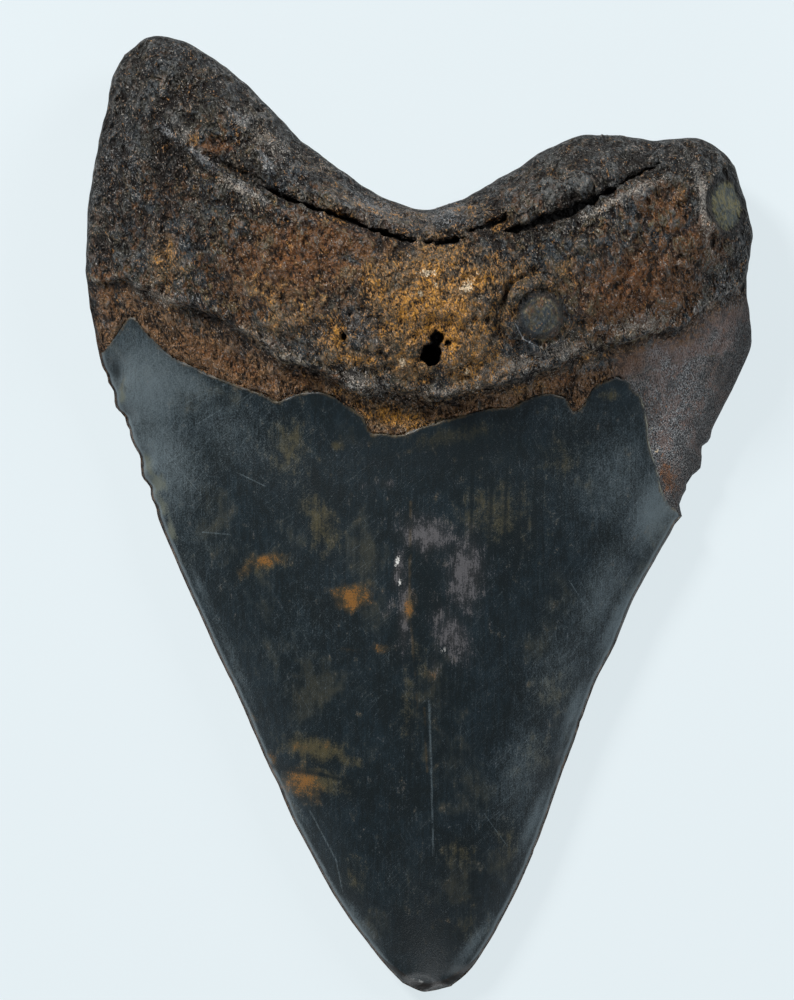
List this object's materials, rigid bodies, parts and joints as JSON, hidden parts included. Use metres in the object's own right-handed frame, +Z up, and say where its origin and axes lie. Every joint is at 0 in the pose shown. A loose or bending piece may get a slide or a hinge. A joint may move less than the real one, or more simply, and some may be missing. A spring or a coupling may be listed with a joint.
{
  "type": "fossil megalodon tooth",
  "caption": "Heart-shaped fossil shark tooth: domed enamel crown with a worn tip under a thick forked root with a ledge, a groove and a nutrient pore. Lies on its flat face.",
  "frame": {"origin": "middle of the tooth's footprint, on the surface it lies on", "axes": "+X to the viewer's right across the tooth, +Y from the worn tip to the root, +Z up out of the domed tongue-side face; the flat lip-side face is down"},
  "size_m": [0.0945, 0.1363, 0.027],
  "materials": {
    "fossil_tooth": "satin blue-black enamel crown over a rough matte root of charcoal, rust and ochre"
  },
  "bodies": {
    "root": {"tooth": "fossil_tooth"}
  },
  "joints": []
}
